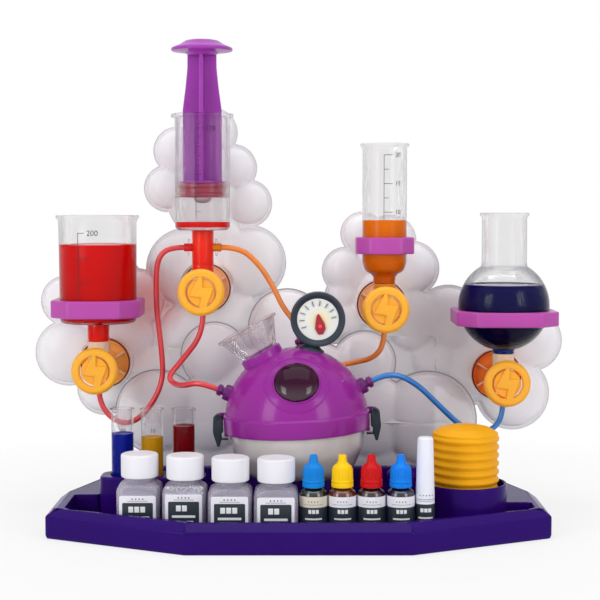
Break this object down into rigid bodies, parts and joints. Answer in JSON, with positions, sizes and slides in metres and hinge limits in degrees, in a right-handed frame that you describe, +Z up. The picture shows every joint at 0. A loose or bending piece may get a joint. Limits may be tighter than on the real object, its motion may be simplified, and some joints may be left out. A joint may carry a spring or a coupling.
{
  "type": "chemistry set case",
  "caption": "Play chemistry set on a low tray with cloud-shaped backdrops: vessels on stopcocks, syringe, domed reaction bowl joined by hoses, bellows pump, test tubes and reagent bottles.",
  "frame": {"origin": "centre of the whole set's footprint, on the surface that the tray stands on", "axes": "+X to the right along the tray's long side, +Y from the front row of bottles to the cloud panels, +Z up"},
  "size_m": [0.448, 0.216, 0.3823],
  "materials": {
    "tray_purple": "dark purple gloss moulding",
    "lid_purple": "magenta purple gloss moulding",
    "ring_purple": "light magenta purple satin moulding",
    "plunger_purple": "magenta purple moulding",
    "wheel_orange": "yellow orange moulding",
    "valve_red": "translucent orange red",
    "clear_plastic": "clear moulding",
    "cloud_sheet": "milky vacuum-formed sheet",
    "seal_black": "matt seal",
    "hose_red": "translucent red tube",
    "hose_orange": "translucent orange tube",
    "hose_blue": "blue tube",
    "lens_dark": "dark red window",
    "slate": "dark slate moulding",
    "dial_white": "printed dial",
    "needle_red": "red pointer",
    "bellows_yellow": "soft yellow bellows",
    "cap_white": "white ribbed cap",
    "drop_blue": "blue cap",
    "drop_yellow": "yellow cap",
    "drop_red": "red cap",
    "drop_azure": "azure cap",
    "drop_body": "dark filled bottle with a plain label",
    "glue_white": "white tube bottle"
  },
  "bodies": {
    "stand": {"base_tray": "tray_purple", "tube_rack": "tray_purple", "rear_cloud_left": "cloud_sheet", "rear_cloud_right": "cloud_sheet", "front_cloud": "cloud_sheet", "beaker": "clear_plastic", "syringe_barrel": "clear_plastic", "measuring_cylinder": "clear_plastic", "round_flask": "clear_plastic", "beaker_ring": "ring_purple", "cylinder_ring": "ring_purple", "flask_ring": "ring_purple", "syringe_tee": "clear_plastic", "hose_beaker": "hose_red", "hose_syringe": "hose_red", "hose_vapour": "hose_orange", "hose_cylinder": "hose_orange", "hose_flask": "hose_blue", "reactor_bowl": "clear_plastic", "reactor_lid": "lid_purple", "window_lens": "lens_dark", "gauge_case": "slate", "gauge_dial": "dial_white", "hose_fittings": "lid_purple", "beaker_valve_body": "valve_red", "syringe_valve_body": "valve_red", "cylinder_valve_body": "valve_red", "flask_valve_body": "valve_red"},
    "plunger": {"plunger": "plunger_purple", "piston_seal": "seal_black"},
    "beaker_wheel": {"beaker_valve_wheel": "wheel_orange"},
    "syringe_wheel": {"syringe_valve_wheel": "wheel_orange"},
    "cylinder_wheel": {"cylinder_valve_wheel": "wheel_orange"},
    "flask_wheel": {"flask_valve_wheel": "wheel_orange"},
    "latch_left": {"latch_left": "slate"},
    "latch_right": {"latch_right": "slate"},
    "needle": {"gauge_needle": "needle_red"},
    "funnel": {"funnel": "clear_plastic"},
    "bellows": {"bellows_pump": "bellows_yellow"},
    "tube_1": {"test_tube_1": "clear_plastic"},
    "tube_2": {"test_tube_2": "clear_plastic"},
    "tube_3": {"test_tube_3": "clear_plastic"},
    "powder_1": {"powder_bottle_1": "clear_plastic"},
    "powder_lid_1": {"powder_cap_1": "cap_white"},
    "dropper_1": {"dropper_bottle_1": "drop_body"},
    "dropper_lid_1": {"dropper_cap_1": "drop_blue"},
    "powder_2": {"powder_bottle_2": "clear_plastic"},
    "powder_lid_2": {"powder_cap_2": "cap_white"},
    "dropper_2": {"dropper_bottle_2": "drop_body"},
    "dropper_lid_2": {"dropper_cap_2": "drop_yellow"},
    "powder_3": {"powder_bottle_3": "clear_plastic"},
    "powder_lid_3": {"powder_cap_3": "cap_white"},
    "dropper_3": {"dropper_bottle_3": "drop_body"},
    "dropper_lid_3": {"dropper_cap_3": "drop_red"},
    "powder_4": {"powder_bottle_4": "clear_plastic"},
    "powder_lid_4": {"powder_cap_4": "cap_white"},
    "dropper_4": {"dropper_bottle_4": "drop_body"},
    "dropper_lid_4": {"dropper_cap_4": "drop_azure"},
    "glue": {"glue_bottle": "glue_white"},
    "glue_lid": {"glue_cap": "glue_white"}
  },
  "joints": [
    {"name": "plunger_slide", "type": "slide", "parent": "stand", "child": "plunger", "axis": [0, 0, 1], "range_m": [-0.018, 0.05]},
    {"name": "beaker_valve_turn", "type": "hinge", "parent": "stand", "child": "beaker_wheel", "pos_m": [-0.1625, 0.0175, 0.118], "axis": [0, -1, 0], "range_deg": [0, 90]},
    {"name": "syringe_valve_turn", "type": "hinge", "parent": "stand", "child": "syringe_wheel", "pos_m": [-0.0775, 0.0175, 0.181], "axis": [0, -1, 0], "range_deg": [0, 90]},
    {"name": "cylinder_valve_turn", "type": "hinge", "parent": "stand", "child": "cylinder_wheel", "pos_m": [0.0695, 0.0175, 0.167], "axis": [0, -1, 0], "range_deg": [0, 90]},
    {"name": "flask_valve_turn", "type": "hinge", "parent": "stand", "child": "flask_wheel", "pos_m": [0.1665, 0.0175, 0.108], "axis": [0, -1, 0], "range_deg": [0, 90]},
    {"name": "latch_left_swing", "type": "hinge", "parent": "stand", "child": "latch_left", "pos_m": [-0.06299, 0.005, 0.08263], "axis": [0, 1, 0], "range_deg": [0, 75]},
    {"name": "latch_right_swing", "type": "hinge", "parent": "stand", "child": "latch_right", "pos_m": [0.0597, 0.005, 0.08777], "axis": [0, -1, 0], "range_deg": [0, 75]},
    {"name": "needle_turn", "type": "hinge", "parent": "stand", "child": "needle", "pos_m": [0.017, 0, 0.1554], "axis": [0, -1, 0], "range_deg": [-70, 70]},
    {"name": "funnel_lift", "type": "slide", "parent": "stand", "child": "funnel", "axis": [-0.4818, 0, 0.8763], "range_m": [0, 0.014]},
    {"name": "bellows_press", "type": "slide", "parent": "stand", "child": "bellows", "axis": [0, 0, -1], "range_m": [0, 0.022], "stiffness_N_per_m": 220, "deforming": ["bellows_pump"]},
    {"name": "tube_1_lift", "type": "slide", "parent": "stand", "child": "tube_1", "axis": [0, 0, 1], "range_m": [0, 0.045]},
    {"name": "tube_2_lift", "type": "slide", "parent": "stand", "child": "tube_2", "axis": [0, 0, 1], "range_m": [0, 0.045]},
    {"name": "tube_3_lift", "type": "slide", "parent": "stand", "child": "tube_3", "axis": [0, 0, 1], "range_m": [0, 0.045]},
    {"name": "powder_1_lift", "type": "slide", "parent": "stand", "child": "powder_1", "axis": [0, 0, 1], "range_m": [0, 0.03]},
    {"name": "powder_cap_1_lift", "type": "slide", "parent": "powder_1", "child": "powder_lid_1", "axis": [0, 0, 1], "range_m": [0, 0.02]},
    {"name": "dropper_1_lift", "type": "slide", "parent": "stand", "child": "dropper_1", "axis": [0, 0, 1], "range_m": [0, 0.03]},
    {"name": "dropper_cap_1_lift", "type": "slide", "parent": "dropper_1", "child": "dropper_lid_1", "axis": [0, 0, 1], "range_m": [0, 0.014]},
    {"name": "powder_2_lift", "type": "slide", "parent": "stand", "child": "powder_2", "axis": [0, 0, 1], "range_m": [0, 0.03]},
    {"name": "powder_cap_2_lift", "type": "slide", "parent": "powder_2", "child": "powder_lid_2", "axis": [0, 0, 1], "range_m": [0, 0.02]},
    {"name": "dropper_2_lift", "type": "slide", "parent": "stand", "child": "dropper_2", "axis": [0, 0, 1], "range_m": [0, 0.03]},
    {"name": "dropper_cap_2_lift", "type": "slide", "parent": "dropper_2", "child": "dropper_lid_2", "axis": [0, 0, 1], "range_m": [0, 0.014]},
    {"name": "powder_3_lift", "type": "slide", "parent": "stand", "child": "powder_3", "axis": [0, 0, 1], "range_m": [0, 0.03]},
    {"name": "powder_cap_3_lift", "type": "slide", "parent": "powder_3", "child": "powder_lid_3", "axis": [0, 0, 1], "range_m": [0, 0.02]},
    {"name": "dropper_3_lift", "type": "slide", "parent": "stand", "child": "dropper_3", "axis": [0, 0, 1], "range_m": [0, 0.03]},
    {"name": "dropper_cap_3_lift", "type": "slide", "parent": "dropper_3", "child": "dropper_lid_3", "axis": [0, 0, 1], "range_m": [0, 0.014]},
    {"name": "powder_4_lift", "type": "slide", "parent": "stand", "child": "powder_4", "axis": [0, 0, 1], "range_m": [0, 0.03]},
    {"name": "powder_cap_4_lift", "type": "slide", "parent": "powder_4", "child": "powder_lid_4", "axis": [0, 0, 1], "range_m": [0, 0.02]},
    {"name": "dropper_4_lift", "type": "slide", "parent": "stand", "child": "dropper_4", "axis": [0, 0, 1], "range_m": [0, 0.03]},
    {"name": "dropper_cap_4_lift", "type": "slide", "parent": "dropper_4", "child": "dropper_lid_4", "axis": [0, 0, 1], "range_m": [0, 0.014]},
    {"name": "glue_lift", "type": "slide", "parent": "stand", "child": "glue", "axis": [0, 0, 1], "range_m": [0, 0.03]},
    {"name": "glue_cap_lift", "type": "slide", "parent": "glue", "child": "glue_lid", "axis": [0, 0, 1], "range_m": [0, 0.016]}
  ]
}
